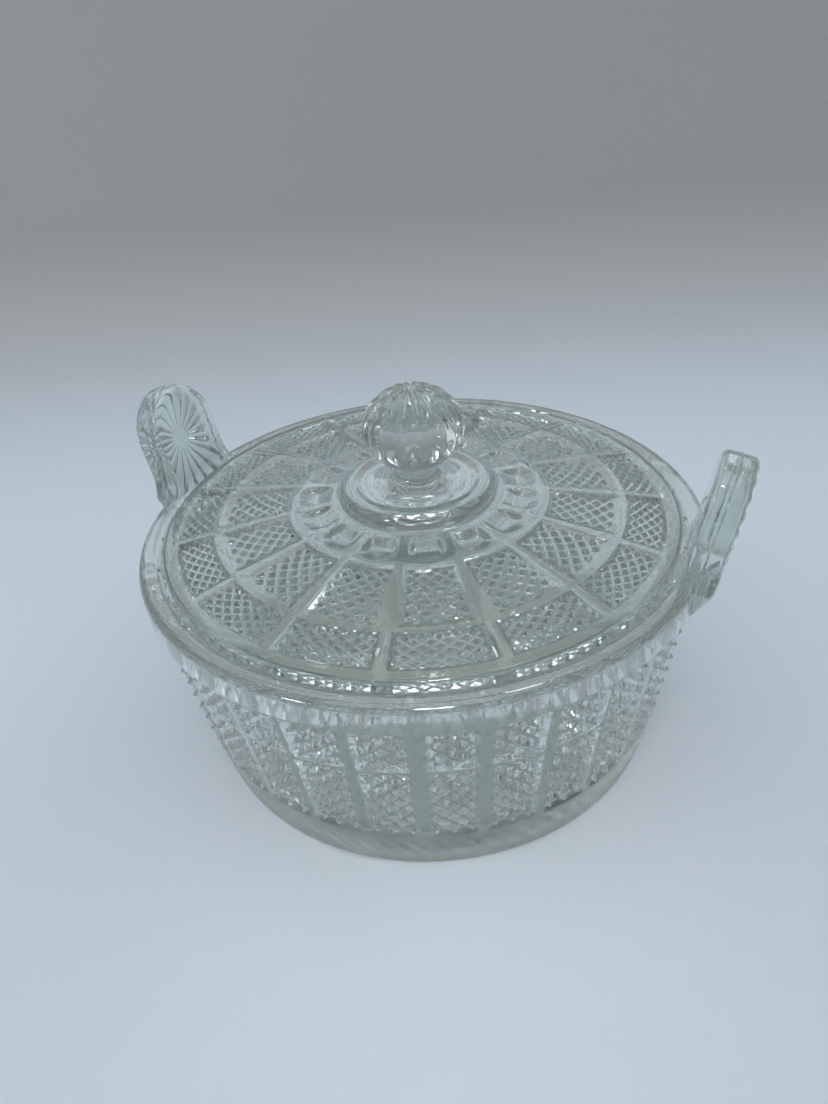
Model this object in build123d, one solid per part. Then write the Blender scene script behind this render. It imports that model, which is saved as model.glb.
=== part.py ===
from build123d import *
from math import cos, radians, sin
import os

# Covered glass candy dish. Millimetres, +Z up. The origin is the centre of the foot, on the table.
# The two handles stand on the X axis. The lid is modelled closed, resting in its seat in the rim.

# ---- driving dimensions ----------------------------------------------------------------------------
RIM_RADIUS = 75.0
RIM_HEIGHT = 65.0
BAND_HEIGHT = 8.0
WALL = 5.0
FOOT_RADIUS = 64.5
LID_RADIUS = 68.5
LID_THICKNESS = 4.0
KNOB_RADIUS = 13.1
KNOB_CENTRE_HEIGHT = 90.3
HANDLE_THICKNESS = 8.5
HANDLE_HEIGHT = 28.4
HANDLE_LEAN = 10.0

# ---- bowl ------------------------------------------------------------------------------------------
BASE_BAND_HEIGHT = 16.0
BASE_BAND_RADIUS = 67.4
WALL_TOP_RADIUS = 73.2
BAND_FOOT_HEIGHT = RIM_HEIGHT - BAND_HEIGHT
FOOT_ROUNDING = 2.0
FOOT_RECESS_RADIUS = 54.0
FOOT_RECESS_DEPTH = 0.8
FLOOR_THICKNESS = 6.0
FLOOR_RADIUS = FOOT_RADIUS - WALL
FLOOR_ROUNDING = 9.0
RIM_ROUNDING = 1.6
SEAT_RADIUS = LID_RADIUS + 0.7
SEAT_HEIGHT = RIM_HEIGHT - 3.6
MOUTH_RADIUS = SEAT_RADIUS - 4.2

# ---- lid -------------------------------------------------------------------------------------------
LID_BOTTOM = SEAT_HEIGHT + 0.2
LID_EDGE_WIDTH = 3.2
LID_EDGE_ROUNDING = 1.2
OUTER_RING_RADIUS = 53.5
OUTER_RING_HEIGHT = 68.2
PETAL_RING_RADIUS = 32.3
PETAL_RING_HEIGHT = 70.8
CROWN_RADIUS = 18.0
CROWN_HEIGHT = 72.0

# ---- collar, neck and knob -------------------------------------------------------------------------
KNOB_FLATTENING = 0.83
COLLAR_RADIUS = 20.9
COLLAR_EDGE_ROUNDING = 1.9
COLLAR_HEIGHT = CROWN_HEIGHT + 3.2
NECK_RADIUS = 6.4
NECK_HEIGHT = KNOB_CENTRE_HEIGHT - KNOB_FLATTENING * KNOB_RADIUS + 1.2
NECK_BLEND = 3.0

# ---- handles ---------------------------------------------------------------------------------------
HANDLE_FACE_RADIUS = 69.6
HANDLE_HALF_WIDTH = 12.8
HANDLE_ARCH_HEIGHT = HANDLE_HEIGHT - HANDLE_HALF_WIDTH
HANDLE_ROOT_HALF_WIDTH = 14.6
HANDLE_ROOT_HEIGHT = 6.0
HANDLE_EDGE_ROUNDING = 1.6


def near_corner(face, x, z):
    """The corner of a flat profile nearest to the point x, z."""
    return face.vertices().sort_by_distance(Vector(x, z))[0]


def turned(profile):
    """The solid that a profile in the XZ plane makes in one turn about the Z axis."""
    return revolve(Plane.XZ * profile, axis=Axis.Z)


def bowl():
    """Floor, flared wall and outer band, with the stepped seat for the lid in its mouth."""
    profile = make_face(
        Polyline(
            (0, FOOT_RECESS_DEPTH),
            (FOOT_RECESS_RADIUS, FOOT_RECESS_DEPTH),
            (FOOT_RECESS_RADIUS + FOOT_RECESS_DEPTH, 0),
            (FOOT_RADIUS, 0),
            (BASE_BAND_RADIUS, BASE_BAND_HEIGHT),
            (WALL_TOP_RADIUS, BAND_FOOT_HEIGHT),
            (RIM_RADIUS, BAND_FOOT_HEIGHT),
            (RIM_RADIUS, RIM_HEIGHT),
            (SEAT_RADIUS, RIM_HEIGHT),
            (SEAT_RADIUS, SEAT_HEIGHT),
            (MOUTH_RADIUS, SEAT_HEIGHT),
            (FLOOR_RADIUS, FLOOR_THICKNESS),
            (0, FLOOR_THICKNESS),
            close=True,
        )
    )
    profile = fillet(near_corner(profile, FOOT_RADIUS, 0), FOOT_ROUNDING)
    profile = fillet(near_corner(profile, RIM_RADIUS, RIM_HEIGHT), RIM_ROUNDING)
    profile = fillet(near_corner(profile, FLOOR_RADIUS, FLOOR_THICKNESS), FLOOR_ROUNDING)
    return turned(profile)


def lid():
    """Shallow dome of even thickness with a flat edge band that rests on the seat."""
    edge_radius = LID_RADIUS - LID_EDGE_WIDTH
    profile = make_face(
        Polyline(
            (0, CROWN_HEIGHT),
            (CROWN_RADIUS, CROWN_HEIGHT),
            (PETAL_RING_RADIUS, PETAL_RING_HEIGHT),
            (OUTER_RING_RADIUS, OUTER_RING_HEIGHT),
            (edge_radius, RIM_HEIGHT + LID_EDGE_ROUNDING),
            (LID_RADIUS, RIM_HEIGHT),
            (LID_RADIUS, LID_BOTTOM),
            (edge_radius, LID_BOTTOM),
            (OUTER_RING_RADIUS, OUTER_RING_HEIGHT - LID_THICKNESS),
            (PETAL_RING_RADIUS, PETAL_RING_HEIGHT - LID_THICKNESS),
            (CROWN_RADIUS, CROWN_HEIGHT - LID_THICKNESS),
            (0, CROWN_HEIGHT - LID_THICKNESS),
            close=True,
        )
    )
    profile = fillet(near_corner(profile, LID_RADIUS, RIM_HEIGHT), LID_EDGE_ROUNDING)
    return turned(profile)


def lid_knob(lid_solid):
    """Round collar, narrow neck and slightly flattened ball, standing on the crown of the lid."""
    collar_top = (COLLAR_RADIUS - COLLAR_EDGE_ROUNDING, COLLAR_HEIGHT)
    neck = (NECK_RADIUS, NECK_HEIGHT)
    slope = Spline(collar_top, neck, tangents=[(-1, 0), (-NECK_BLEND / NECK_RADIUS, 1)])
    profile = make_face(
        Polyline(neck, (0, NECK_HEIGHT), (0, PETAL_RING_HEIGHT), (COLLAR_RADIUS, PETAL_RING_HEIGHT))
        + Line((COLLAR_RADIUS, PETAL_RING_HEIGHT), (COLLAR_RADIUS, COLLAR_HEIGHT - COLLAR_EDGE_ROUNDING))
        + RadiusArc(
            (COLLAR_RADIUS, COLLAR_HEIGHT - COLLAR_EDGE_ROUNDING),
            collar_top,
            -COLLAR_EDGE_ROUNDING,
        )
        + slope
    )
    ball = Pos(0, 0, KNOB_CENTRE_HEIGHT) * scale(Sphere(KNOB_RADIUS), by=(1, 1, KNOB_FLATTENING))
    return turned(profile) + ball - lid_solid


def handle_tab(face):
    """The upright tab with its round top and eased edges, on the leaning plane of its inner face."""
    arch_foot = (HANDLE_HALF_WIDTH, HANDLE_ARCH_HEIGHT)
    outline = make_face(
        Line((-HANDLE_HALF_WIDTH, 0), (-HANDLE_HALF_WIDTH, HANDLE_ARCH_HEIGHT))
        + ThreePointArc((-HANDLE_HALF_WIDTH, HANDLE_ARCH_HEIGHT), (0, HANDLE_HEIGHT), arch_foot)
        + Polyline(arch_foot, (HANDLE_HALF_WIDTH, 0), (-HANDLE_HALF_WIDTH, 0))
    )
    tab = extrude(face * outline, HANDLE_THICKNESS)
    return fillet(tab.edges().filter_by(GeomType.CIRCLE), HANDLE_EDGE_ROUNDING)


def handle_root(face):
    """The root under the tab, which widens down to the band."""
    outline = make_face(
        Polyline(
            (-HANDLE_ROOT_HALF_WIDTH, -BAND_HEIGHT),
            (HANDLE_ROOT_HALF_WIDTH, -BAND_HEIGHT),
            (HANDLE_ROOT_HALF_WIDTH, 0),
            (HANDLE_HALF_WIDTH, HANDLE_ROOT_HEIGHT),
            (-HANDLE_HALF_WIDTH, HANDLE_ROOT_HEIGHT),
            (-HANDLE_ROOT_HALF_WIDTH, 0),
            close=True,
        )
    )
    return extrude(face * outline, HANDLE_THICKNESS)


def root_trim():
    """What the handle's root must leave free: the lid's seat, all below the band, and a taper outside it."""
    outer = 2 * RIM_RADIUS
    reach = HANDLE_FACE_RADIUS + HANDLE_THICKNESS
    profile = make_face(
        Polyline(
            (0, RIM_HEIGHT),
            (SEAT_RADIUS, RIM_HEIGHT),
            (SEAT_RADIUS, BAND_FOOT_HEIGHT),
            (RIM_RADIUS, BAND_FOOT_HEIGHT),
            (reach, RIM_HEIGHT),
            (outer, RIM_HEIGHT),
            (outer, 0),
            (0, 0),
            close=True,
        )
    )
    return turned(profile)


def right_handle(bowl_solid):
    """One handle at +X, leaning outwards, that stands on the rim and laps over the band."""
    lean = radians(HANDLE_LEAN)
    outwards = (cos(lean), 0, -sin(lean))
    face = Plane(origin=(HANDLE_FACE_RADIUS, 0, RIM_HEIGHT), x_dir=(0, 1, 0), z_dir=outwards)
    return handle_tab(face) + handle_root(face) - bowl_solid - root_trim()


def main():
    dish = bowl()
    cover = lid()
    right = right_handle(dish)
    parts = {
        "bowl": dish,
        "handle_right": right,
        "handle_left": Rot(0, 0, 180) * right,
        "lid": cover,
        "lid_knob": lid_knob(cover),
    }
    os.makedirs("parts", exist_ok=True)
    for name, solid in parts.items():
        export_step(solid, f"parts/{name}.step")


main()
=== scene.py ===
from collections import namedtuple
from math import cos, pi, radians, sin, tau

import bmesh
import bpy
import numpy as np
from mathutils import Matrix, Vector


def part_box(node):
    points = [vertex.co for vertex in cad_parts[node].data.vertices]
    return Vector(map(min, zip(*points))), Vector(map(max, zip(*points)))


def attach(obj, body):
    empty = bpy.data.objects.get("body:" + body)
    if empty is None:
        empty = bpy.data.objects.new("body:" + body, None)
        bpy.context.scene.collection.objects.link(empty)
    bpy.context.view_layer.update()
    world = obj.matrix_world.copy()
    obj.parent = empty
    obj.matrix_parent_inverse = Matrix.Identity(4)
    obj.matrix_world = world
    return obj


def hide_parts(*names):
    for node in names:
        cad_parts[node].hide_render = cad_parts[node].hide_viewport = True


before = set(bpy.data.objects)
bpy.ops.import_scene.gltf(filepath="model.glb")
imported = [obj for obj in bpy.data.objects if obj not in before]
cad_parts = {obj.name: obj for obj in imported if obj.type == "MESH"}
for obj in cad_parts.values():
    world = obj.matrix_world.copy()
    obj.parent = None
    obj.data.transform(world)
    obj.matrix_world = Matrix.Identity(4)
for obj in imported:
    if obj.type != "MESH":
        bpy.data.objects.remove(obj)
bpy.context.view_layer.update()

# Covered candy dish of clear pressed glass: a dish with two handles, and a loose lid with a ball knob.
# The frame is the CAD model's: +Z up, the origin at the centre of the foot, the handles on the X axis.

# ---- sizes, in metres ------------------------------------------------------------------------------
MM = 0.001

# driving sizes, from the CAD nodes
BOWL_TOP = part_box("bowl")[1]
LID_LOW, LID_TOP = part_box("lid")
RIM_RADIUS = BOWL_TOP.x
RIM_HEIGHT = BOWL_TOP.z
LID_RADIUS = LID_TOP.x
LID_BOTTOM = LID_LOW.z
KNOB_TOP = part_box("lid_knob")[1].z
HANDLE_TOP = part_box("handle_right")[1].z

# how far the hatching of the dish and the lid is turned about the Z axis
PATTERN_TURN = radians(-2.9)

# dish: outer profile from the foot up to the band under the rim
FOOT_RADIUS = 64.5 * MM
FOOT_ROUNDING = 2.0 * MM
FOOT_RECESS_RADIUS = 54.0 * MM
FOOT_RECESS_DEPTH = 0.8 * MM
BASE_BAND_RADIUS = 67.4 * MM
BASE_BAND_HEIGHT = 16.0 * MM
WALL_TOP_RADIUS = 73.2 * MM
BAND_HEIGHT = 8.0 * MM
BAND_FOOT = RIM_HEIGHT - BAND_HEIGHT
BAND_ROUNDING = 1.4 * MM
RIM_CROWN = 1.8 * MM

# dish: stepped seat for the lid, and the inside
SEAT_PLAY = 0.7 * MM
SEAT_DEPTH = 3.6 * MM
SEAT_WIDTH = 4.2 * MM
SEAT_RADIUS = LID_RADIUS + SEAT_PLAY
SEAT_HEIGHT = RIM_HEIGHT - SEAT_DEPTH
SEAT_BEVEL_WIDTH = 0.4 * MM
SEAT_BEVEL_HEIGHT = 0.5 * MM
MOUTH_RADIUS = SEAT_RADIUS - SEAT_WIDTH
MOUTH_ROUNDING = 0.8 * MM
WALL = 5.0 * MM
FLOOR_RADIUS = FOOT_RADIUS - WALL
FLOOR_HEIGHT = 6.0 * MM
FLOOR_ROUNDING = 9.0 * MM
FLOOR_FLARE = 0.9 * MM

# dish: notches in the seat, one over each rib, as shares of the way from a panel's centre to its rib
NOTCH_DEPTH = 1.5 * MM
NOTCH_START = 0.72
NOTCH_EASE = 0.2

# dish: the faint bumps of the foot band, staggered from row to row, over these shares of its height
BASE_BAND_SPAN = (0.12, 0.97)
BASE_BAND_MARGIN = 1.0 * MM
BASE_BAND_RINGS = 18
MOTTLES_PER_PANEL = 3
MOTTLE_WAVES_UP = 2.5
MOTTLE_LIFT = 0.2 * MM

# hatched relief: how deep a panel lies, how high its pyramids stand in it, and the shares of a pyramid's
# half width that are its flat tip and the flat groove beside it. The pyramids fade out over the lowest
# share of the bevel around the panel.
Relief = namedtuple("Relief", "sunk pyramid plateau groove")
PYRAMID_FADE = 1 / 6

# dish: sunken panels in two rows, with plain ribs between them. Rows are heights on the wall, and the
# shares are parts of the way from a panel's centre to the centre of its rib.
BowlRow = namedtuple("BowlRow", "low high pyramids_up")
BOWL_PANELS = 30
BOWL_PYRAMIDS_ACROSS = 4
BOWL_HATCH_SHARE = 0.62
BOWL_RIB_SHARE = 0.11
BOWL_BEVEL = 1.5 * MM
BOWL_RELIEF = Relief(sunk=0.9 * MM, pyramid=1.5 * MM, plateau=0.05, groove=0.25)
LOWER_ROW = BowlRow(low=15.6 * MM, high=41.0 * MM, pyramids_up=10)
UPPER_ROW = BowlRow(low=42.2 * MM, high=56.4 * MM, pyramids_up=5)

# lid: edge band and dome, whose plain top goes through these radii and heights
LID_THICKNESS = 4.0 * MM
LID_EDGE_WIDTH = 3.2 * MM
LID_EDGE_ROUNDING = 1.2 * MM
LID_EDGE_RISE = 0.2 * MM
LID_EDGE_CREST = 1.5 * MM
LID_FOOT_ROUNDING = 0.8 * MM
LID_FOOT_BEVEL = 0.3 * MM
LID_EDGE_RADIUS = LID_RADIUS - LID_EDGE_WIDTH
CROWN_RADIUS = 18.0 * MM
CROWN_HEIGHT = 72.0 * MM
DOME = (
    (CROWN_RADIUS, CROWN_HEIGHT),
    (32.3 * MM, 70.8 * MM),
    (53.5 * MM, 68.2 * MM),
    (LID_EDGE_RADIUS, RIM_HEIGHT + LID_EDGE_ROUNDING),
)

# lid: two rings of hatched panels
LidRing = namedtuple("LidRing", "inner outer across along hatch_share inner_bevel outer_bevel rib_width")
LID_PANELS = 15
LID_RELIEF = Relief(sunk=0.9 * MM, pyramid=1.0 * MM, plateau=0.12, groove=0.38)
OUTER_RING = LidRing(
    inner=54.6 * MM,
    outer=64.6 * MM,
    across=10,
    along=6,
    hatch_share=0.80,
    inner_bevel=1.0 * MM,
    outer_bevel=1.0 * MM,
    rib_width=2.4 * MM,
)
MIDDLE_RING = LidRing(
    inner=34.6 * MM,
    outer=53.4 * MM,
    across=6,
    along=8,
    hatch_share=0.66,
    inner_bevel=1.4 * MM,
    outer_bevel=2.8 * MM,
    rib_width=2.2 * MM,
)

# lid: ring of spoon-shaped flutes around the collar, with shares of the way out from a flute's centre line
FLUTE_INNER = 22.4 * MM
FLUTE_OUTER = 32.6 * MM
FLUTE_DEPTH = 1.3 * MM
FLUTE_WIDTH_SHARE = 0.82
FLUTE_SIDE_SHARE = 0.4
FLUTE_MARGIN = 0.2 * MM
FLUTE_BOW = 1.8 * MM
FLUTE_OUTER_SLOPE = 3.2 * MM
FLUTE_INNER_SLOPE = 5.0 * MM

# lid: collar with a fat roll, a shallow pool and a cove up to the neck
COLLAR_BASE_RADIUS = 21.6 * MM
COLLAR_RADIUS = 20.9 * MM
COLLAR_FOOT = 72.2 * MM
ROLL_WIDTH = 3.4 * MM
ROLL_HEIGHT = 3.15 * MM
POOL_RADIUS = 15.0 * MM
POOL_HEIGHT = 74.7 * MM
NECK_RADIUS = 5.4 * MM
NECK_HEIGHT = 78.8 * MM

# lid: the flattened ball, and its melon lobes with the latitudes, in radians, where they start and end
KNOB_RADIUS = 13.1 * MM
KNOB_FLATTENING = 0.83
KNOB_CENTRE = KNOB_TOP - KNOB_FLATTENING * KNOB_RADIUS
KNOB_DIMPLE = 0.2 * MM
KNOB_LOBES = 16
LOBE_DEPTH = 1.15 * MM
LOBE_START = -0.55
LOBE_RISE = 0.5
LOBE_END = 1.52
LOBE_FALL = 0.25

# handles: upright tabs with a round top, heights measured up the leaning inner face from the rim
HANDLE_THICKNESS = 8.5 * MM
HANDLE_LEAN = radians(10.0)
HANDLE_FACE_RADIUS = 69.6 * MM
HANDLE_HALF_WIDTH = 12.8 * MM
HANDLE_ARCH_HEIGHT = 15.6 * MM
HANDLE_EASE = 1.6 * MM

# handles: the root, which flares sideways towards the rim and gets thinner below it
ROOT_HALF_WIDTH = 14.6 * MM
ROOT_HEIGHT = 6.0 * MM
ROOT_DEPTH = 7.6 * MM
ROOT_INSET = 2.6 * MM
ROOT_LAP = 0.9 * MM
ROOT_REACH = RIM_RADIUS - HANDLE_FACE_RADIUS + ROOT_LAP

# handles: the rings over the mould seam, as shares of the thickness with the ridge at each
SEAM_RIDGE = 0.35 * MM
SEAM_RINGS = ((0.40, 0), (0.47, 0), (0.50, SEAM_RIDGE), (0.53, 0), (0.60, 0))

# handles: sunburst of radial cuts, whose widths are shares of their spacing. They end shallower, at a
# share of their depth, near the handle's edge.
SUNBURST_HEIGHT = 12.8 * MM
SUNBURST_CUTS = 20
SUNBURST_DEPTH = 1.3 * MM
SUNBURST_HUB = 2.2 * MM
CUT_HUB_WIDTH = 0.35
CUT_WIDENING = 0.5
CUT_END_SLOPE = 2.5 * MM
CUT_END_DEPTH = 0.3
CUT_EDGE_FADE = 3

# how finely the skins are divided
STEPS_PER_PYRAMID = 4
BEVEL_STEPS = 3
SMOOTH_STEPS = 240
BASE_BAND_STEPS = 18
SEAT_STEPS = 24
FLUTE_STEPS = 24
LOBE_STEPS = 14
CUT_STEPS = 14
SHARP_ANGLE = radians(38)

# ---- looks -----------------------------------------------------------------------------------------
GLASS_IOR = 1.5
WAVE_SCALE = 140.0
WAVE_DETAIL = 3.0
WAVE_STRENGTH = 0.35
WAVE_DEPTH = 0.25 * MM
POLISH_SCALE = 60.0
POLISHED = 0.06
WORN = 0.95

# the darkest tint of the glass, on the foot band
FOOT_BAND_TINT = (0.47, 0.54, 0.505)
WALL_TINT = (0.89, 0.93, 0.91)
BAND_TINT = (0.88, 0.93, 0.91)
# painted shade: a darker tint of the same glass over the rim and the roots of the handles
RIM_PAINTED_SHADE_TINT = (0.56, 0.63, 0.585)
HANDLE_TINT = (0.80, 0.87, 0.835)
DOME_TINT = (0.70, 0.755, 0.725)
# painted sheen: a lighter tint of the same glass for the knob, the neck and the collar's pool
KNOB_PAINTED_SHEEN_TINT = (0.85, 0.89, 0.87)

PAPER_ROUGHNESS = 0.75
# painted light: the paper under the foot is lightened as if the glass gathered light onto it
PAPER_PAINTED_LIGHT_UNDER_FOOT = (0.94, 0.96, 0.97)
# painted shadow: darker paper at the foot, a soft shadow around the dish that fades out to SHADE_RADIUS
PAPER_PAINTED_SHADOW_AT_FOOT = (0.52, 0.585, 0.63)
PAPER_TINT = (0.58, 0.645, 0.70)
# warmer backdrop colour, a little darker than the floor as painted shade where the paper rises
BACKDROP_TINT_WITH_PAINTED_SHADE = (0.62, 0.61, 0.60)
SHADE_RADIUS = 150.0 * MM
BACKDROP_RISE = 40.0 * MM

WHITE = (1.0, 1.0, 1.0)
COOL_WHITE = (0.95, 0.98, 1.0)
SKY_WHITE = (0.93, 0.97, 1.0)
ROOM_DARK = (0.09, 0.095, 0.10)
ROOM_BRIGHT = (0.41, 0.45, 0.50)
ROOM_DARK_HEIGHT = 0.15
GLASS_BOUNCES = 24
GLOSSY_BOUNCES = 12

CAMERA_AZIMUTH = radians(24.85)
CAMERA_DISTANCE = 191.9 * MM
CAMERA_HEIGHT = 183.1 * MM
CAMERA_YAW = radians(-0.72)
CAMERA_PITCH = radians(34.43)
CAMERA_ROLL = radians(-4.74)
CAMERA_LENS = 27.0
CAMERA_SENSOR = 36.0
CAMERA_CLIP = 10.0 * MM


# ---- building closed glass skins from rings of points ----------------------------------------------
class Skin:
    """A closed surface made of rings of points, each joined to the next by triangles."""

    def __init__(self):
        self.points = []
        self.triangles = []
        self.last = None

    def add(self, points):
        """Stores points and returns their numbers."""
        start = sum(len(block) for block in self.points)
        self.points.append(np.asarray(points, dtype=float))
        return np.arange(start, start + len(points))

    def tip(self, point):
        """A single point that the next ring, or the last one, closes on."""
        number = self.add([point])
        if self.last is None:
            self.last = (None, number)
            return
        _, ring = self.last
        following = np.roll(ring, -1)
        self.triangles.append(np.stack([ring, following, np.full_like(ring, number[0])], axis=1))

    def ring(self, angles, points, leaning=None):
        """Adds a ring and joins it to the one before. leaning picks each quad's diagonal."""
        ring = self.add(points)
        if self.last is not None:
            self.join(self.last, (angles, ring), leaning)
        self.last = (angles, ring)

    def join(self, before, after, leaning):
        """Joins two rings, point by point where they match and by angle where they don't."""
        angles_a, ring_a = before
        angles_b, ring_b = after
        if angles_a is None:
            following = np.roll(ring_b, -1)
            tip = np.full_like(ring_b, ring_a[0])
            self.triangles.append(np.stack([tip, following, ring_b], axis=1))
        elif len(ring_a) == len(ring_b) and np.allclose(angles_a, angles_b):
            self.join_matching(ring_a, ring_b, leaning)
        else:
            self.zip_by_angle(angles_a, ring_a, angles_b, ring_b)

    def join_matching(self, ring_a, ring_b, leaning):
        """Two triangles for each pair of neighbours, split along the diagonal that leaning picks."""
        if leaning is None:
            leaning = np.zeros(len(ring_a), dtype=bool)
        next_a = np.roll(ring_a, -1)
        next_b = np.roll(ring_b, -1)
        first_end = np.where(leaning, next_b, ring_b)
        second_start = np.where(leaning, ring_a, next_a)
        self.triangles.append(np.stack([ring_a, next_a, first_end], axis=1))
        self.triangles.append(np.stack([second_start, next_b, ring_b], axis=1))

    def zip_by_angle(self, angles_a, ring_a, angles_b, ring_b):
        """A strip of triangles between rings with different numbers of points."""
        turn_a = np.append(angles_a, angles_a[0] + tau)
        turn_b = np.append(angles_b, angles_b[0] + tau)
        count_a = len(ring_a)
        count_b = len(ring_b)
        strip = []
        i = 0
        j = 0
        while i < count_a or j < count_b:
            if i < count_a and (j == count_b or turn_a[i + 1] <= turn_b[j + 1]):
                strip.append((ring_a[i], ring_a[(i + 1) % count_a], ring_b[j % count_b]))
                i += 1
            else:
                strip.append((ring_a[i % count_a], ring_b[(j + 1) % count_b], ring_b[j]))
                j += 1
        self.triangles.append(np.array(strip))

    def mesh(self, name):
        """The finished skin as a Blender mesh with outward normals."""
        mesh = bpy.data.meshes.new(name)
        points = np.concatenate(self.points)
        triangles = np.concatenate(self.triangles)
        mesh.from_pydata(points.tolist(), [], triangles.tolist())
        turned = bmesh.new()
        turned.from_mesh(mesh)
        bmesh.ops.recalc_face_normals(turned, faces=turned.faces)
        turned.to_mesh(mesh)
        turned.free()
        return mesh


def around(angles, radii, heights):
    """Points at angles around the Z axis, at radii and heights that may vary along the ring."""
    radii = np.broadcast_to(radii, angles.shape)
    heights = np.broadcast_to(heights, angles.shape)
    return np.stack([radii * np.cos(angles), radii * np.sin(angles), heights], axis=1)


def even_angles(count):
    """Angles of evenly spaced points around one turn."""
    return np.arange(count) * tau / count


def smooth_step(x):
    """Rises smoothly from 0 to 1 while x does, and stays level outside."""
    x = np.clip(x, 0, 1)
    return x * x * (3 - 2 * x)


def triangle_wave(x):
    """Distance of x from the nearest even number, from 0 to 1."""
    return np.abs((x + 1) % 2 - 1)


def arc(centre, radius, start, end, steps):
    """Profile points (radius, height) on an arc, angles in degrees from the outward direction."""
    turns = np.radians(np.linspace(start, end, steps))
    return [(centre[0] + radius * cos(turn), centre[1] + radius * sin(turn)) for turn in turns]


def plain_rings(skin, profile):
    """Rings of revolution along a profile of (radius, height) points."""
    angles = even_angles(SMOOTH_STEPS)
    for radius, height in profile:
        skin.ring(angles, around(angles, radius, height))


# ---- hatched relief --------------------------------------------------------------------------------
class HatchRow:
    """One ring of sunken panels, hatched with pyramids, between plain ribs.

    Across a panel, u runs from -1 to 1 between the centres of its ribs. Along the profile, v runs
    from 0 to 1. The grid has a line through every pyramid's tip and every crossing of its grooves.
    """

    def __init__(self, panels, across, along, hatch_share, rib_share, bevels, relief, turned):
        self.panels = panels
        self.across = across
        self.along = along
        self.hatch_share = hatch_share
        self.rib_share = rib_share
        self.bevels = bevels
        self.relief = relief
        self.turned = turned

    def panel_lines(self):
        """The u of each grid line of one panel, starting on its first rib."""
        hatch = np.linspace(-self.hatch_share, self.hatch_share, self.across * STEPS_PER_PYRAMID + 1)
        bevel = np.linspace(self.hatch_share, 1 - self.rib_share, BEVEL_STEPS + 1)[1:]
        return np.concatenate([[-1], -bevel[::-1], hatch, bevel])

    def grid(self):
        """Angles of all grid lines around the ring, with the u of each."""
        lines = self.panel_lines()
        half = pi / self.panels
        centres = self.turned + np.arange(self.panels) * 2 * half
        angles = (centres[:, None] + lines[None, :] * half).ravel()
        return angles, np.tile(lines, self.panels)

    def profile_lines(self):
        """The v of each grid line along the profile."""
        low, high = self.bevels
        first = np.linspace(0, low, BEVEL_STEPS + 1)[:-1]
        hatch = np.linspace(low, 1 - high, self.along * STEPS_PER_PYRAMID + 1)
        last = np.linspace(1 - high, 1, BEVEL_STEPS + 1)[1:]
        return np.concatenate([first, hatch, last])

    def lattice(self, u, v):
        """Position in the lattice of pyramids: tips are where the sum and the difference are even."""
        low, high = self.bevels
        across = (u + self.hatch_share) / (2 * self.hatch_share) * self.across - self.across / 2
        along = (v - low) / (1 - low - high) * self.along
        return across, along

    def height(self, u, v):
        """Height of the relief over the plain surface: 0 on the ribs, sunk under the hatching."""
        low, high = self.bevels
        side = (np.abs(u) - self.hatch_share) / (1 - self.rib_share - self.hatch_share)
        ends = max((low - v) / low, (v - 1 + high) / high)
        bevel = np.clip(np.maximum(side, ends), 0, 1)
        across, along = self.lattice(u, v)
        distance = np.maximum(triangle_wave(across + along), triangle_wave(across - along))
        slope = 1 - self.relief.groove - self.relief.plateau
        tip = np.clip((1 - self.relief.groove - distance) / slope, 0, 1)
        inside = smooth_step(1 - bevel / PYRAMID_FADE)
        return self.relief.sunk * (bevel - 1) + self.relief.pyramid * tip * inside

    def leaning(self, u, v):
        """Which diagonal of each grid cell follows the groove through it."""
        u_middle = (u + np.roll(u, -1)) / 2
        across, along = self.lattice(u_middle, v)
        return (np.floor(across) + np.floor(along)) % 2 == 1


def hatched_rings(skin, row, start, end):
    """Rings of one hatch row on the straight profile from start to end, relief along its normal."""
    start = np.array(start)
    end = np.array(end)
    run = (end - start) / np.linalg.norm(end - start)
    normal = np.array([run[1], -run[0]])
    angles, u = row.grid()
    before = None
    for v in row.profile_lines():
        lift = row.height(u, v)
        radius = start[0] + (end - start)[0] * v + lift * normal[0]
        height = start[1] + (end - start)[1] * v + lift * normal[1]
        leaning = None if before is None else row.leaning(u, (v + before) / 2)
        skin.ring(angles, around(angles, radius, height), leaning)
        before = v


# ---- dish ------------------------------------------------------------------------------------------
def wall_point(height):
    """Point on the plain outer wall at a height."""
    share = (height - BASE_BAND_HEIGHT) / (BAND_FOOT - BASE_BAND_HEIGHT)
    return (BASE_BAND_RADIUS + share * (WALL_TOP_RADIUS - BASE_BAND_RADIUS), height)


def foot_rings(skin):
    """The shallow recess under the dish and the ring foot around it."""
    plain_rings(skin, [
        (FOOT_RECESS_RADIUS / 2, FOOT_RECESS_DEPTH),
        (FOOT_RECESS_RADIUS, FOOT_RECESS_DEPTH),
        (FOOT_RECESS_RADIUS + FOOT_RECESS_DEPTH, 0.0),
    ])
    foot_corner = (FOOT_RADIUS - FOOT_ROUNDING, FOOT_ROUNDING)
    plain_rings(skin, arc(foot_corner, FOOT_ROUNDING, start=-90, end=-10, steps=6))


def mottled_base_rings(skin):
    """The foot band, with faint staggered bumps that fade towards its edges."""
    angles = even_angles(BOWL_PANELS * BASE_BAND_STEPS)
    low, high = BASE_BAND_SPAN
    for share in np.linspace(low, high, BASE_BAND_RINGS):
        radius = FOOT_RADIUS + share * (BASE_BAND_RADIUS - FOOT_RADIUS)
        height = share * (BASE_BAND_HEIGHT - BASE_BAND_MARGIN)
        bump = np.cos(angles * BOWL_PANELS * MOTTLES_PER_PANEL) * cos(share * MOTTLE_WAVES_UP * tau)
        lift = MOTTLE_LIFT * sin(share * pi) * bump
        skin.ring(angles, around(angles, radius + lift, height))


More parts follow.
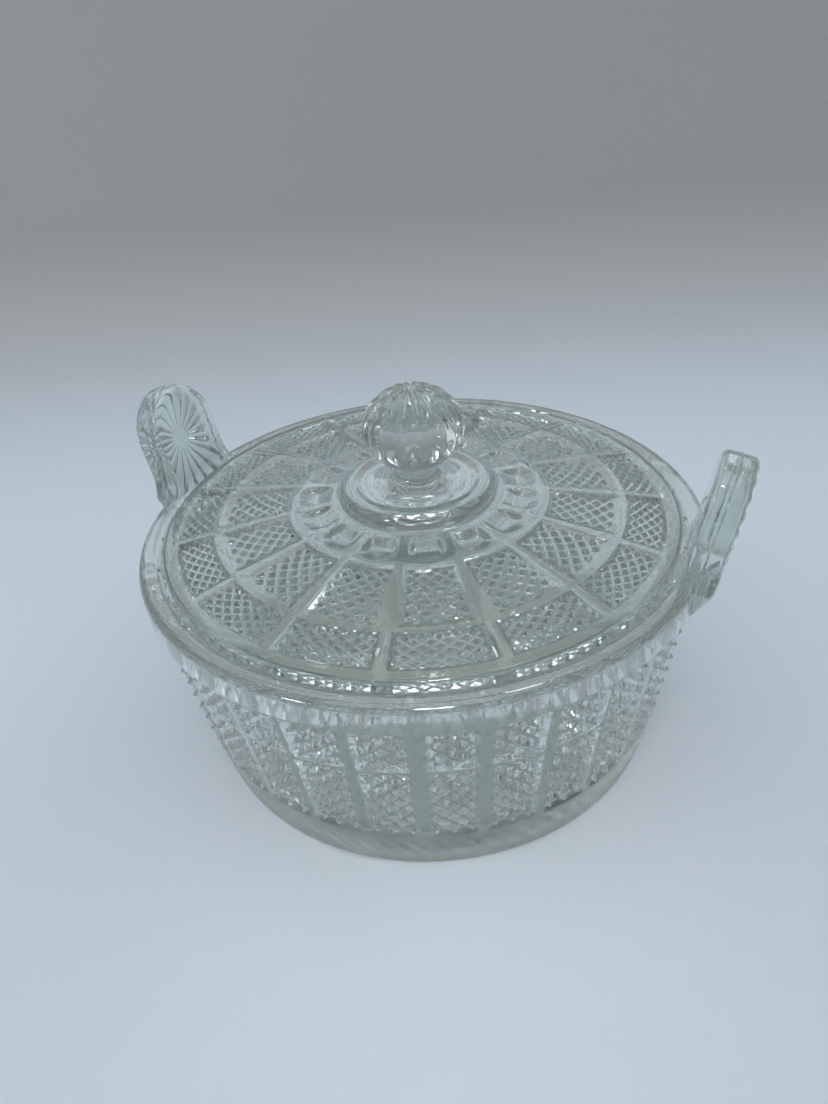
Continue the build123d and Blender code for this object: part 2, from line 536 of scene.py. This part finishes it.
def bowl_row_rings(skin, span):
    """One row of the wall's hatched panels."""
    bevel = BOWL_BEVEL / (span.high - span.low)
    row = HatchRow(
        panels=BOWL_PANELS,
        across=BOWL_PYRAMIDS_ACROSS,
        along=span.pyramids_up,
        hatch_share=BOWL_HATCH_SHARE,
        rib_share=BOWL_RIB_SHARE,
        bevels=(bevel, bevel),
        relief=BOWL_RELIEF,
        turned=PATTERN_TURN,
    )
    hatched_rings(skin, row, wall_point(span.low), wall_point(span.high))


def rounded_rim():
    """Profile points over the softly rounded top of the band, from its outer face to the seat."""
    half_width = (RIM_RADIUS - SEAT_RADIUS) / 2
    crown = RIM_RADIUS - half_width
    turns = np.radians(np.linspace(0, 165, 12))
    return [
        (crown + half_width * cos(turn), RIM_HEIGHT - RIM_CROWN * (1 - sin(turn)))
        for turn in turns
    ]


def notched_seat_rings(skin):
    """The upright wall of the lid's seat, with a shallow notch over each rib of the bowl."""
    angles = even_angles(BOWL_PANELS * SEAT_STEPS)
    half = pi / BOWL_PANELS
    from_panel_centre = np.abs((angles - PATTERN_TURN + half) % (2 * half) - half) / half
    notch = NOTCH_DEPTH * smooth_step((from_panel_centre - NOTCH_START) / NOTCH_EASE)
    for height in np.linspace(RIM_HEIGHT - RIM_CROWN, SEAT_HEIGHT + SEAT_BEVEL_HEIGHT, 4):
        skin.ring(angles, around(angles, SEAT_RADIUS + notch, height))
    skin.ring(angles, around(angles, SEAT_RADIUS - SEAT_BEVEL_WIDTH, SEAT_HEIGHT))


def bowl_skin():
    """Foot, hatched wall, thick band, lid seat, smooth inside and floor."""
    skin = Skin()
    skin.tip((0, 0, FOOT_RECESS_DEPTH))
    foot_rings(skin)
    mottled_base_rings(skin)
    bowl_row_rings(skin, LOWER_ROW)
    bowl_row_rings(skin, UPPER_ROW)
    plain_rings(skin, [wall_point(BAND_FOOT)])
    band_corner = (RIM_RADIUS - BAND_ROUNDING, BAND_FOOT + BAND_ROUNDING)
    plain_rings(skin, arc(band_corner, BAND_ROUNDING, start=-80, end=0, steps=5))
    plain_rings(skin, rounded_rim())
    notched_seat_rings(skin)
    mouth_corner = (MOUTH_RADIUS + MOUTH_ROUNDING, SEAT_HEIGHT - MOUTH_ROUNDING)
    plain_rings(skin, arc(mouth_corner, MOUTH_ROUNDING, start=90, end=175, steps=4))
    floor_corner = (FLOOR_RADIUS - FLOOR_ROUNDING + FLOOR_FLARE, FLOOR_HEIGHT + FLOOR_ROUNDING)
    plain_rings(skin, arc(floor_corner, FLOOR_ROUNDING, start=5, end=-90, steps=9))
    plain_rings(skin, [(FLOOR_RADIUS / 2, FLOOR_HEIGHT)])
    skin.tip((0, 0, FLOOR_HEIGHT))
    return skin


# ---- handles ---------------------------------------------------------------------------------------
def handle_half_width(height):
    """Half the handle's width at a height up its face: round top, straight sides, flared root."""
    top = np.sqrt(np.clip(HANDLE_HALF_WIDTH**2 - (height - HANDLE_ARCH_HEIGHT) ** 2, 0, None))
    flare = np.clip(1 - height / ROOT_HEIGHT, 0, 1)
    sides = HANDLE_HALF_WIDTH + (ROOT_HALF_WIDTH - HANDLE_HALF_WIDTH) * flare**2
    return np.where(height > HANDLE_ARCH_HEIGHT, top, sides)


def handle_outline(angles):
    """Distance from the sunburst's centre to the handle's outline, found by halving."""
    near = np.zeros_like(angles)
    far = np.full_like(angles, 2 * HANDLE_HALF_WIDTH + ROOT_DEPTH)
    halvings = 30
    for _ in range(halvings):
        middle = (near + far) / 2
        height = SUNBURST_HEIGHT + middle * np.sin(angles)
        outside = np.abs(middle * np.cos(angles)) > handle_half_width(height)
        outside |= height < -ROOT_DEPTH
        near = np.where(outside, near, middle)
        far = np.where(outside, middle, far)
    return near


def sunburst(angles, distance):
    """Depth of the radial cuts in the handle's outer face: they widen and deepen outwards."""
    share = np.clip((distance - SUNBURST_HUB) / (HANDLE_HALF_WIDTH - SUNBURST_HUB), 0, 1)
    from_cut = np.abs((angles * SUNBURST_CUTS / tau) % 1 - 0.5) * 2
    wedge = np.clip(1 - from_cut / (CUT_HUB_WIDTH + CUT_WIDENING * share), 0, 1)
    fade = smooth_step((handle_outline(angles) - HANDLE_EASE - distance) / CUT_END_SLOPE)
    return SUNBURST_DEPTH * wedge * share * (CUT_END_DEPTH + (1 - CUT_END_DEPTH) * fade)


def handle_points(side, angles, distance, depth):
    """World points at distances from the sunburst's centre and depths behind the inner face.

    Below the rim the root gets thinner, until its lower end runs into the band.
    """
    up = np.array((sin(HANDLE_LEAN), 0, cos(HANDLE_LEAN)))
    outward = np.array((cos(HANDLE_LEAN), 0, -sin(HANDLE_LEAN)))
    foot = np.array((HANDLE_FACE_RADIUS, 0, RIM_HEIGHT))
    along = distance * np.cos(angles)
    height = SUNBURST_HEIGHT + distance * np.sin(angles)
    below = np.clip(-height / ROOT_DEPTH, 0, 1)
    sag = RIM_RADIUS - np.sqrt(RIM_RADIUS**2 - along**2)
    share = depth / HANDLE_THICKNESS
    taper = ROOT_INSET * (1 - share) + (ROOT_REACH - sag - HANDLE_THICKNESS) * share
    depth = depth + below * taper
    points = foot + np.outer(height, up) + np.outer(depth, outward) + np.outer(along, (0, 1, 0))
    return points * np.array([side, side, 1])


def handle_skin(side):
    """One handle, smooth towards the lid and cut outside. side is 1 at +X and -1 at -X."""
    skin = Skin()
    angles = even_angles(SUNBURST_CUTS * CUT_STEPS) - pi / 2
    outline = handle_outline(angles)
    inner = outline - HANDLE_EASE
    zero = np.zeros_like(angles)

    def ring(distance, depth):
        skin.ring(angles, handle_points(side, angles, distance, depth))

    def tip(depth):
        skin.tip(handle_points(side, angles, zero, zero + depth)[0])

    tip(0)
    for share in (0.25, 0.5, 0.75, 1):
        ring(inner * share, zero)
    for turn in np.radians((25, 50, 75, 90)):
        ring(inner + HANDLE_EASE * sin(turn), zero + HANDLE_EASE * (1 - cos(turn)))
    for share, ridge in SEAM_RINGS:
        ring(outline + ridge, zero + HANDLE_THICKNESS * share)
    for turn in np.radians((0, 25, 50, 75, 90)):
        distance = inner + HANDLE_EASE * cos(turn)
        depth = HANDLE_THICKNESS - HANDLE_EASE * (1 - sin(turn))
        ring(distance, depth - sunburst(angles, distance) * sin(turn) ** CUT_EDGE_FADE)
    for share in np.linspace(0.95, 0.08, 18):
        distance = inner * share
        ring(distance, HANDLE_THICKNESS - sunburst(angles, distance))
    tip(HANDLE_THICKNESS)
    return skin


# ---- lid -------------------------------------------------------------------------------------------
def dome_height(radius):
    """Height of the lid's plain top surface."""
    radii, heights = zip(*DOME)
    return np.interp(radius, radii, heights)


def lid_panel_rings(skin, span):
    """One ring of the lid's hatched panels, from its outer edge inwards."""
    width = span.outer - span.inner
    panel_width = (span.inner + span.outer) / 2 * tau / LID_PANELS
    row = HatchRow(
        panels=LID_PANELS,
        across=span.across,
        along=span.along,
        hatch_share=span.hatch_share,
        rib_share=span.rib_width / panel_width,
        bevels=(span.outer_bevel / width, span.inner_bevel / width),
        relief=LID_RELIEF,
        turned=pi / LID_PANELS + PATTERN_TURN,
    )
    outer_edge = (span.outer, dome_height(span.outer))
    inner_edge = (span.inner, dome_height(span.inner))
    hatched_rings(skin, row, outer_edge, inner_edge)


def flute_rings(skin):
    """Flutes between the collar and the hatching, spoon-shaped, with a broad rounded outer end."""
    angles = even_angles(LID_PANELS * FLUTE_STEPS)
    half = pi / LID_PANELS
    across = np.abs(((angles - PATTERN_TURN) % (2 * half)) / half - 1) / FLUTE_WIDTH_SHARE
    scoop = smooth_step((1 - across) / FLUTE_SIDE_SHARE)
    for radius in np.linspace(FLUTE_OUTER, FLUTE_INNER, 24):
        from_end = FLUTE_OUTER - FLUTE_MARGIN - radius - FLUTE_BOW * across**2
        end = np.clip(from_end / FLUTE_OUTER_SLOPE, 0, 1)
        start = smooth_step((radius - FLUTE_INNER) / FLUTE_INNER_SLOPE)
        sunk = FLUTE_DEPTH * scoop * end * start
        skin.ring(angles, around(angles, radius, dome_height(radius) - sunk))


def collar_profile():
    """Profile points over the fat roll of the collar, down into its pool and up the cove to the neck."""
    cove_width = POOL_RADIUS - NECK_RADIUS
    cove_height = NECK_HEIGHT - POOL_HEIGHT
    profile = []
    for turn in np.radians(np.linspace(0, 118, 10)):
        radius = COLLAR_RADIUS - ROLL_WIDTH * (1 - cos(turn))
        profile.append((radius, COLLAR_FOOT + ROLL_HEIGHT * sin(turn)))
    for turn in np.radians(np.linspace(0, 90, 10)):
        radius = POOL_RADIUS - cove_width * sin(turn)
        profile.append((radius, NECK_HEIGHT - cove_height * cos(turn)))
    return profile


def knob_rings(skin):
    """The flattened ball: melon lobes from the crown to below the equator, smooth underneath."""
    angles = even_angles(KNOB_LOBES * LOBE_STEPS)
    lobes = 1 - np.abs(np.sin(angles * KNOB_LOBES / 2))
    for latitude in np.radians(np.linspace(-64, 84, 50)):
        rise = smooth_step((latitude - LOBE_START) / LOBE_RISE)
        fall = smooth_step((LOBE_END - latitude) / LOBE_FALL)
        radius = KNOB_RADIUS - LOBE_DEPTH * rise * fall * lobes
        height = KNOB_CENTRE + KNOB_FLATTENING * radius * sin(latitude)
        skin.ring(angles, around(angles, radius * cos(latitude), height))
    skin.tip((0, 0, KNOB_CENTRE + KNOB_FLATTENING * KNOB_RADIUS - KNOB_DIMPLE))


def lid_skin():
    """Smooth underside, edge band, two hatched rings, flutes, collar and ball knob."""
    skin = Skin()
    ceiling = CROWN_HEIGHT - LID_THICKNESS
    skin.tip((0, 0, ceiling))
    underside = [(radius, height - LID_THICKNESS) for radius, height in DOME[:-1]]
    plain_rings(skin, [(CROWN_RADIUS / 2, ceiling)] + underside)
    plain_rings(skin, [
        (LID_EDGE_RADIUS - LID_FOOT_ROUNDING, LID_BOTTOM + LID_FOOT_BEVEL),
        (LID_EDGE_RADIUS, LID_BOTTOM),
    ])
    foot_corner = (LID_RADIUS - LID_FOOT_ROUNDING, LID_BOTTOM + LID_FOOT_ROUNDING)
    plain_rings(skin, arc(foot_corner, LID_FOOT_ROUNDING, start=-90, end=0, steps=4))
    edge_corner = (LID_RADIUS - LID_EDGE_ROUNDING, RIM_HEIGHT + LID_EDGE_RISE)
    plain_rings(skin, arc(edge_corner, LID_EDGE_ROUNDING, start=0, end=80, steps=5))
    plain_rings(skin, [(LID_EDGE_RADIUS, RIM_HEIGHT + LID_EDGE_CREST)])
    lid_panel_rings(skin, OUTER_RING)
    lid_panel_rings(skin, MIDDLE_RING)
    flute_rings(skin)
    plain_rings(skin, [(COLLAR_BASE_RADIUS, dome_height(COLLAR_BASE_RADIUS))])
    plain_rings(skin, collar_profile())
    knob_rings(skin)
    return skin


# ---- objects ---------------------------------------------------------------------------------------
def new_object(name, data):
    """A new object in the scene, for a mesh, a light or a camera."""
    obj = bpy.data.objects.new(name, data)
    bpy.context.scene.collection.objects.link(obj)
    return obj


def union(base, others):
    """Joins closed solids into one skin and removes what was inside."""
    for other in others:
        join = base.modifiers.new("join", "BOOLEAN")
        join.operation = "UNION"
        join.solver = "MANIFOLD"
        join.object = other
    depsgraph = bpy.context.evaluated_depsgraph_get()
    joined = bpy.data.meshes.new_from_object(base.evaluated_get(depsgraph))
    base.modifiers.clear()
    base.data = joined
    for other in others:
        bpy.data.objects.remove(other)


def finish_glass(obj, material, body, nodes):
    """Smooth shading with crisp cuts, the glass material, and its place in the frame."""
    obj.data.shade_smooth()
    obj.data.set_sharp_from_angle(angle=SHARP_ANGLE)
    obj.data.materials.clear()
    obj.data.materials.append(material)
    obj.visible_shadow = False
    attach(obj, body)
    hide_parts(*nodes)


# ---- shader sockets --------------------------------------------------------------------------------
def split_place(material):
    """Node with the X, Y and Z of a point on the object."""
    nodes, links = material.node_tree.nodes, material.node_tree.links
    place = nodes.new("ShaderNodeTexCoord")
    split = nodes.new("ShaderNodeSeparateXYZ")
    links.new(place.outputs["Object"], split.inputs["Vector"])
    return split


def height_above_table(material):
    """Socket with the height above the table."""
    return split_place(material).outputs["Z"]


def distance_from_axis(material):
    """Socket with the distance from the Z axis."""
    nodes, links = material.node_tree.nodes, material.node_tree.links
    split = split_place(material)
    flat = nodes.new("ShaderNodeCombineXYZ")
    links.new(split.outputs["X"], flat.inputs["X"])
    links.new(split.outputs["Y"], flat.inputs["Y"])
    length = nodes.new("ShaderNodeVectorMath")
    length.operation = "LENGTH"
    links.new(flat.outputs["Vector"], length.inputs[0])
    return length.outputs["Value"]


def graded(material, measure, start, end, low=0.0, high=1.0):
    """Socket that goes from low to high while the measure goes from start to end."""
    nodes, links = material.node_tree.nodes, material.node_tree.links
    grade = nodes.new("ShaderNodeMapRange")
    grade.inputs["From Min"].default_value = start
    grade.inputs["From Max"].default_value = end
    grade.inputs["To Min"].default_value = low
    grade.inputs["To Max"].default_value = high
    links.new(measure, grade.inputs["Value"])
    return grade.outputs["Result"]


def product(material, first, second):
    """Socket with the product of two others."""
    nodes, links = material.node_tree.nodes, material.node_tree.links
    times = nodes.new("ShaderNodeMath")
    times.operation = "MULTIPLY"
    links.new(first, times.inputs[0])
    links.new(second, times.inputs[1])
    return times.outputs["Value"]


def colour_ramp(material, measure, length, places):
    """Socket with a colour that follows a measure from 0 to length, through (place, colour) pairs."""
    nodes, links = material.node_tree.nodes, material.node_tree.links
    ramp = nodes.new("ShaderNodeValToRGB")
    stops = ramp.color_ramp.elements
    while len(stops) < len(places):
        stops.new(1.0)
    for stop, (place, colour) in zip(stops, places):
        stop.position = place / length
        stop.color = (*colour, 1)
    links.new(graded(material, measure, 0.0, length), ramp.inputs["Fac"])
    return ramp.outputs["Color"]


def polish_noise(material):
    """Socket with a soft noise for the uneven polish."""
    nodes, links = material.node_tree.nodes, material.node_tree.links
    place = nodes.new("ShaderNodeTexCoord")
    noise = nodes.new("ShaderNodeTexNoise")
    noise.inputs["Scale"].default_value = POLISH_SCALE
    links.new(place.outputs["Object"], noise.inputs["Vector"])
    return noise.outputs["Fac"]


# ---- glass -----------------------------------------------------------------------------------------
def pressed_glass(name, seed):
    """Clear pressed glass with the soft waviness of the mould, still without tint or roughness."""
    material = bpy.data.materials.new(name)
    material.use_nodes = True
    nodes, links = material.node_tree.nodes, material.node_tree.links
    shader = nodes["Principled BSDF"]
    shader.inputs["Transmission Weight"].default_value = 1.0
    shader.inputs["IOR"].default_value = GLASS_IOR
    place = nodes.new("ShaderNodeTexCoord")
    waves = nodes.new("ShaderNodeTexNoise")
    waves.noise_dimensions = "4D"
    waves.inputs["W"].default_value = seed
    waves.inputs["Scale"].default_value = WAVE_SCALE
    waves.inputs["Detail"].default_value = WAVE_DETAIL
    links.new(place.outputs["Object"], waves.inputs["Vector"])
    bump = nodes.new("ShaderNodeBump")
    bump.inputs["Strength"].default_value = WAVE_STRENGTH
    bump.inputs["Distance"].default_value = WAVE_DEPTH
    links.new(waves.outputs["Fac"], bump.inputs["Height"])
    links.new(bump.outputs["Normal"], shader.inputs["Normal"])
    return material


def finish_shader(material, tint, roughness):
    """Connects the tint and the roughness of a glass."""
    links = material.node_tree.links
    shader = material.node_tree.nodes["Principled BSDF"]
    links.new(tint, shader.inputs["Base Color"])
    links.new(roughness, shader.inputs["Roughness"])


def dish_glass():
    """The dish: tinted by height, greyest at the foot band and at the rim, whose grey is painted shade,
    and matt outside the foot band.
    """
    material = pressed_glass("dish_glass", seed=1.0)
    height = height_above_table(material)
    tint = colour_ramp(material, height, HANDLE_TOP, (
        (BASE_BAND_HEIGHT - 2 * MM, FOOT_BAND_TINT),
        (BASE_BAND_HEIGHT + 2 * MM, WALL_TINT),
        (BAND_FOOT - 2 * MM, WALL_TINT),
        (BAND_FOOT, BAND_TINT),
        (RIM_HEIGHT - RIM_CROWN, BAND_TINT),
        # painted shade: the darker tint over the rim and the handles' roots
        (RIM_HEIGHT - 0.5 * MM, RIM_PAINTED_SHADE_TINT),
        (RIM_HEIGHT + 4 * MM, RIM_PAINTED_SHADE_TINT),
        (RIM_HEIGHT + 9 * MM, HANDLE_TINT),
    ))
    low = graded(material, height, BASE_BAND_HEIGHT + 2 * MM, BASE_BAND_HEIGHT)
    outside = graded(material, distance_from_axis(material), FOOT_RADIUS - FOOT_ROUNDING, FOOT_RADIUS)
    worn = graded(material, product(material, low, outside), 0.0, 1.0, POLISHED, WORN)
    finish_shader(material, tint, product(material, polish_noise(material), worn))
    return material


def lid_glass():
    """The lid: lighter knob, neck and pool, whose lighter tint is painted sheen, and a greyer roll and
    dome.
    """
    material = pressed_glass("lid_glass", seed=2.0)
    tint = colour_ramp(material, distance_from_axis(material), LID_RADIUS, (
        # painted sheen: the lighter tint inside the pool's edge
        (POOL_RADIUS - 1 * MM, KNOB_PAINTED_SHEEN_TINT),
        (POOL_RADIUS + 1 * MM, DOME_TINT),
    ))
    finish_shader(material, tint, graded(material, polish_noise(material), 0.0, 1.0, 0.0, POLISHED))
    return material


# ---- stage -----------------------------------------------------------------------------------------
def paper_material():
    """Pale matt paper, warmer and a little darker where it rises as painted shade, with a painted pool of
    light under the foot and a painted shadow around it.
    """
    material = bpy.data.materials.new("paper")
    material.use_nodes = True
    nodes, links = material.node_tree.nodes, material.node_tree.links
    shader = nodes["Principled BSDF"]
    shader.inputs["Roughness"].default_value = PAPER_ROUGHNESS
    # painted light under the foot and a painted shadow around it, fading out to the plain paper at
    # SHADE_RADIUS
    floor = colour_ramp(material, distance_from_axis(material), SHADE_RADIUS, (
        (FOOT_RECESS_RADIUS, PAPER_PAINTED_LIGHT_UNDER_FOOT),
        (FOOT_RADIUS, PAPER_PAINTED_SHADOW_AT_FOOT),
        (SHADE_RADIUS, PAPER_TINT),
    ))
    # the warmer backdrop colour, partly painted shade, takes over as the paper rises
    risen = graded(material, height_above_table(material), 0.0, BACKDROP_RISE)
    shade = nodes.new("ShaderNodeMix")
    shade.data_type = "RGBA"
    links.new(risen, shade.inputs["Factor"])
    links.new(floor, shade.inputs["A"])
    shade.inputs["B"].default_value = (*BACKDROP_TINT_WITH_PAINTED_SHADE, 1)
    links.new(shade.outputs["Result"], shader.inputs["Base Color"])
    return material


def camera_turn():
    """The turn about the Z axis that points X to the camera's right and Y away from it."""
    return Matrix.Rotation(CAMERA_AZIMUTH, 3, "Z")


def sweep():
    """A pale floor that curves up into a backdrop behind the dish, as seen from the camera."""
    half_width, front, back, bend, height = 1.6, 1.2, 0.22, 0.08, 0.20
    profile = [(-front, 0.0), (back, 0.0)]
    for turn in np.linspace(0.1, pi / 2, 16):
        profile.append((back + bend * sin(turn), bend * (1 - cos(turn))))
    profile.append((back + bend, height))
    points = []
    for depth, rise in profile:
        for side in (-half_width, half_width):
            points.append(camera_turn() @ Vector((side, depth, rise)))
    faces = [(start, start + 1, start + 3, start + 2) for start in range(0, len(points) - 2, 2)]
    mesh = bpy.data.meshes.new("sweep")
    mesh.from_pydata(points, [], faces)
    mesh.shade_smooth()
    mesh.materials.append(paper_material())
    obj = new_object("sweep", mesh)


def area_light(name, place, target, size, power, colour=WHITE):
    """A soft box facing target. Places are in metres to the camera's right, away from it and up."""
    light = bpy.data.lights.new(name, "AREA")
    light.shape = "RECTANGLE"
    light.size, light.size_y = size
    light.energy = power
    light.color = colour
    obj = new_object(name, light)
    obj.location = camera_turn() @ Vector(place)
    aim = camera_turn() @ Vector(target) - obj.location
    obj.rotation_euler = aim.to_track_quat("-Z", "Y").to_euler()
    return obj


def lights():
    """Soft light from behind, above and the left, lamps for glints, and a spot in front of the foot."""
    dish = (0, 0, 0.05)
    back = area_light("back", (0.0, 0.70, 0.62), (0, 0, 0.07), (1.4, 0.85), 5.6, SKY_WHITE)
    back.visible_transmission = False
    area_light("overhead", (0.0, 0.0, 1.2), (0, 0, 0), (0.8, 0.6), 3.2, COOL_WHITE)
    front = area_light("front", (0.0, -0.30, 0.70), (0, -0.07, 0), (0.12, 0.08), 0.017)
    front.data.spread = radians(14)
    area_light("strip", (0.0, 0.45, 1.0), dish, (0.9, 0.10), 0.5)
    area_light("lamp", (0.25, 0.3, 1.1), dish, (0.12, 0.12), 0.8)
    area_light("window", (-0.7, -0.5, 0.8), dish, (0.12, 0.2), 1.3)
    area_light("left", (-1.3, -0.1, 0.8), dish, (0.7, 0.9), 1.0, SKY_WHITE)


def room():
    """The room around the stage, dark up to just above the horizon and brighter towards the ceiling."""
    world = bpy.data.worlds.new("room")
    world.use_nodes = True
    nodes, links = world.node_tree.nodes, world.node_tree.links
    direction = nodes.new("ShaderNodeTexCoord")
    split = nodes.new("ShaderNodeSeparateXYZ")
    links.new(direction.outputs["Generated"], split.inputs["Vector"])
    ramp = nodes.new("ShaderNodeValToRGB")
    dark, bright = ramp.color_ramp.elements
    dark.position = ROOM_DARK_HEIGHT
    dark.color = (*ROOM_DARK, 1)
    bright.position = 1.0
    bright.color = (*ROOM_BRIGHT, 1)
    links.new(split.outputs["Z"], ramp.inputs["Fac"])
    links.new(ramp.outputs["Color"], nodes["Background"].inputs["Color"])
    bpy.context.scene.world = world


def camera():
    """The camera looks down at the dish, turned so that the handles lie on the X axis."""
    data = bpy.data.cameras.new("camera")
    data.lens = CAMERA_LENS
    data.sensor_width = CAMERA_SENSOR
    data.clip_start = CAMERA_CLIP
    obj = new_object("camera", data)
    obj.location = camera_turn() @ Vector((0, -CAMERA_DISTANCE, CAMERA_HEIGHT))
    heading = Matrix.Rotation(CAMERA_AZIMUTH - CAMERA_YAW, 3, "Z")
    tilt = Matrix.Rotation(pi / 2 - CAMERA_PITCH, 3, "X")
    roll = Matrix.Rotation(CAMERA_ROLL, 3, "Z")
    obj.rotation_euler = (heading @ tilt @ roll).to_euler()
    bpy.context.scene.camera = obj


def light_paths():
    """Plain colours, and enough bounces to see through both pieces without the noise of caustics."""
    scene = bpy.context.scene
    scene.view_settings.view_transform = "Standard"
    scene.cycles.max_bounces = GLASS_BOUNCES
    scene.cycles.transmission_bounces = GLASS_BOUNCES
    scene.cycles.glossy_bounces = GLOSSY_BOUNCES
    scene.cycles.caustics_refractive = False
    scene.cycles.caustics_reflective = False
    scene.cycles.use_denoising = True


def main():
    camera()
    dish = new_object("pressed_dish", bowl_skin().mesh("pressed_dish"))
    handles = [new_object(f"handle_{side}", handle_skin(side).mesh("handle")) for side in (1, -1)]
    union(dish, handles)
    lid = new_object("pressed_lid", lid_skin().mesh("pressed_lid"))
    finish_glass(dish, dish_glass(), "dish", ("bowl", "handle_left", "handle_right"))
    finish_glass(lid, lid_glass(), "cover", ("lid", "lid_knob"))
    sweep()
    lights()
    room()
    light_paths()


main()
